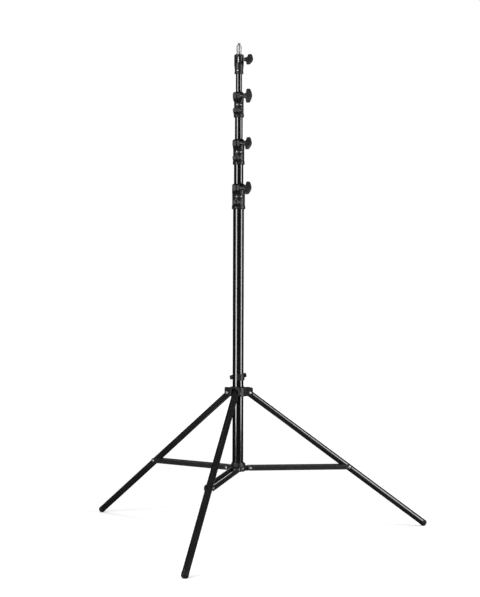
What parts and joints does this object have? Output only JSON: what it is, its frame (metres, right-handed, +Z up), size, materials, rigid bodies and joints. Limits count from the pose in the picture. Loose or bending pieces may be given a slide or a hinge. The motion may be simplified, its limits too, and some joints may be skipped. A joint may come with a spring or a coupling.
{
  "type": "light stand",
  "caption": "Black folding light stand: a telescoping mast with clamp knobs, a top stud, hinged legs on a sliding collar and twin-strap braces to a hub.",
  "frame": {"origin": "on the floor at the centre of the box round the stand, as it stands open", "axes": "+Z up along the mast; leg 1 points along -Y, legs 2 and 3 stand 120 degrees either side of it, and the mast knobs point along +X"},
  "size_m": [1.141, 0.991, 1.5678],
  "materials": {
    "mast_black": "gloss black anodised",
    "casting_black": "satin black coated casting",
    "strap_black": "satin black strip",
    "knob_plastic": "charcoal moulded",
    "inner_plastic": "smooth moulded",
    "foot_rubber": "matt",
    "bright_steel": "bright plated",
    "pad_brass": "turned"
  },
  "bodies": {
    "mast_base": {"base_tube": "mast_black", "base_end_plug": "inner_plastic", "hub": "casting_black", "hub_screw": "bright_steel", "hub_rivet_1": "bright_steel", "hub_rivet_2": "bright_steel", "hub_rivet_3": "bright_steel", "lock_1_clamp": "casting_black", "lock_1_sleeve": "inner_plastic", "lock_1_bolt": "bright_steel", "lock_1_pinch_screw": "bright_steel"},
    "collar": {"leg_collar": "casting_black", "collar_liner": "inner_plastic", "collar_rivet_1": "bright_steel", "collar_rivet_2": "bright_steel", "collar_rivet_3": "bright_steel"},
    "leg_1": {"leg_1_tube": "mast_black", "leg_1_foot": "foot_rubber", "leg_1_rivet": "bright_steel"},
    "leg_2": {"leg_2_tube": "mast_black", "leg_2_foot": "foot_rubber", "leg_2_rivet": "bright_steel"},
    "leg_3": {"leg_3_tube": "mast_black", "leg_3_foot": "foot_rubber", "leg_3_rivet": "bright_steel"},
    "brace_1": {"brace_1_strap_a": "strap_black", "brace_1_strap_b": "strap_black"},
    "brace_2": {"brace_2_strap_a": "strap_black", "brace_2_strap_b": "strap_black"},
    "brace_3": {"brace_3_strap_a": "strap_black", "brace_3_strap_b": "strap_black"},
    "riser_1": {"riser_1_tube": "mast_black", "riser_1_plug": "inner_plastic", "lock_2_clamp": "casting_black", "lock_2_sleeve": "inner_plastic", "lock_2_bolt": "bright_steel", "lock_2_pinch_screw": "bright_steel"},
    "riser_2": {"riser_2_tube": "mast_black", "riser_2_plug": "inner_plastic", "lock_3_clamp": "casting_black", "lock_3_sleeve": "inner_plastic", "lock_3_bolt": "bright_steel", "lock_3_pinch_screw": "bright_steel"},
    "riser_3": {"riser_3_tube": "mast_black", "riser_3_plug": "inner_plastic", "top_receiver": "casting_black", "top_receiver_screw": "bright_steel"},
    "spigot": {"spigot": "bright_steel"},
    "lock_1_washer": {"lock_1_washer": "bright_steel"},
    "lock_1_knob": {"lock_1_knob": "knob_plastic"},
    "lock_2_washer": {"lock_2_washer": "bright_steel"},
    "lock_2_knob": {"lock_2_knob": "knob_plastic"},
    "lock_3_washer": {"lock_3_washer": "bright_steel"},
    "lock_3_knob": {"lock_3_knob": "knob_plastic"},
    "top_pad": {"top_pad": "pad_brass"},
    "top_knob": {"top_knob": "knob_plastic", "top_knob_screw": "bright_steel"},
    "collar_pad": {"collar_pad": "pad_brass"},
    "collar_knob": {"collar_knob": "knob_plastic", "collar_knob_screw": "bright_steel"}
  },
  "joints": [
    {"name": "collar_slide", "type": "slide", "parent": "mast_base", "child": "collar", "axis": [0, 0, 1], "range_m": [0, 0.5201]},
    {"name": "leg_1_fold", "type": "hinge", "parent": "collar", "child": "leg_1", "pos_m": [0, 0.12552, 0.45486], "axis": [1, 0, 0], "range_deg": [0, 51.74]},
    {"name": "leg_2_fold", "type": "hinge", "parent": "collar", "child": "leg_2", "pos_m": [0.03074, 0.17877, 0.45486], "axis": [-0.5, 0.866, 0], "range_deg": [0, 51.74]},
    {"name": "leg_3_fold", "type": "hinge", "parent": "collar", "child": "leg_3", "pos_m": [-0.03074, 0.17877, 0.45486], "axis": [-0.5, -0.866, 0], "range_deg": [0, 51.74]},
    {"name": "brace_1_fold", "type": "hinge", "parent": "mast_base", "child": "brace_1", "pos_m": [0, 0.12302, 0.21555], "axis": [-1, 0, 0], "range_deg": [0, 89.18]},
    {"name": "brace_2_fold", "type": "hinge", "parent": "mast_base", "child": "brace_2", "pos_m": [0.03291, 0.18002, 0.21555], "axis": [0.5, -0.866, 0], "range_deg": [0, 89.18]},
    {"name": "brace_3_fold", "type": "hinge", "parent": "mast_base", "child": "brace_3", "pos_m": [-0.03291, 0.18002, 0.21555], "axis": [0.5, 0.866, 0], "range_deg": [0, 89.18]},
    {"name": "riser_1_slide", "type": "slide", "parent": "mast_base", "child": "riser_1", "axis": [0, 0, 1], "range_m": [-0.059, 0.6]},
    {"name": "riser_2_slide", "type": "slide", "parent": "riser_1", "child": "riser_2", "axis": [0, 0, 1], "range_m": [-0.068, 0.6]},
    {"name": "riser_3_slide", "type": "slide", "parent": "riser_2", "child": "riser_3", "axis": [0, 0, 1], "range_m": [-0.056, 0.6]},
    {"name": "spigot_lift", "type": "slide", "parent": "riser_3", "child": "spigot", "axis": [0, 0, 1], "range_m": [0, 0.034]},
    {"name": "lock_1_washer_slide", "type": "slide", "parent": "mast_base", "child": "lock_1_washer", "axis": [1, 0, 0], "range_m": [0, 0.0015]},
    {"name": "lock_1_knob_turn", "type": "hinge", "parent": "lock_1_washer", "child": "lock_1_knob", "pos_m": [0.0131, 0.13662, 1.1056], "axis": [1, 0, 0], "range_deg": [0, 360]},
    {"name": "lock_2_washer_slide", "type": "slide", "parent": "riser_1", "child": "lock_2_washer", "axis": [1, 0, 0], "range_m": [0, 0.0015]},
    {"name": "lock_2_knob_turn", "type": "hinge", "parent": "lock_2_washer", "child": "lock_2_knob", "pos_m": [0.0131, 0.13912, 1.2471], "axis": [1, 0, 0], "range_deg": [0, 360]},
    {"name": "lock_3_washer_slide", "type": "slide", "parent": "riser_2", "child": "lock_3_washer", "axis": [1, 0, 0], "range_m": [0, 0.0015]},
    {"name": "lock_3_knob_turn", "type": "hinge", "parent": "lock_3_washer", "child": "lock_3_knob", "pos_m": [0.0131, 0.14162, 1.3976], "axis": [1, 0, 0], "range_deg": [0, 360]},
    {"name": "top_pad_slide", "type": "slide", "parent": "riser_3", "child": "top_pad", "axis": [1, 0, 0], "range_m": [0, 0.0015]},
    {"name": "top_knob_turn", "type": "hinge", "parent": "top_pad", "child": "top_knob", "pos_m": [0.0175, 0.16102, 1.51585], "axis": [1, 0, 0], "range_deg": [0, 360]},
    {"name": "collar_pad_slide", "type": "slide", "parent": "collar", "child": "collar_pad", "axis": [-0.2164, 0.9763, 0], "range_m": [0, 0.0015]},
    {"name": "collar_knob_turn", "type": "hinge", "parent": "collar_pad", "child": "collar_knob", "pos_m": [-0.00693, 0.19226, 0.50486], "axis": [-0.2164, 0.9763, 0], "range_deg": [0, 360]}
  ],
  "couplings": [
    {"joint": "leg_1_fold", "follows": "collar_slide", "rad_per_m": 1.7363},
    {"joint": "leg_2_fold", "follows": "collar_slide", "rad_per_m": 1.7363},
    {"joint": "leg_3_fold", "follows": "collar_slide", "rad_per_m": 1.7363},
    {"joint": "brace_1_fold", "follows": "collar_slide", "rad_per_m": 2.9927},
    {"joint": "brace_2_fold", "follows": "collar_slide", "rad_per_m": 2.9927},
    {"joint": "brace_3_fold", "follows": "collar_slide", "rad_per_m": 2.9927},
    {"joint": "lock_1_washer_slide", "follows": "lock_1_knob_turn", "m_per_rad": 0.00023873},
    {"joint": "lock_2_washer_slide", "follows": "lock_2_knob_turn", "m_per_rad": 0.00023873},
    {"joint": "lock_3_washer_slide", "follows": "lock_3_knob_turn", "m_per_rad": 0.00023873},
    {"joint": "top_pad_slide", "follows": "top_knob_turn", "m_per_rad": 0.00023873},
    {"joint": "collar_pad_slide", "follows": "collar_knob_turn", "m_per_rad": 0.00023873}
  ]
}
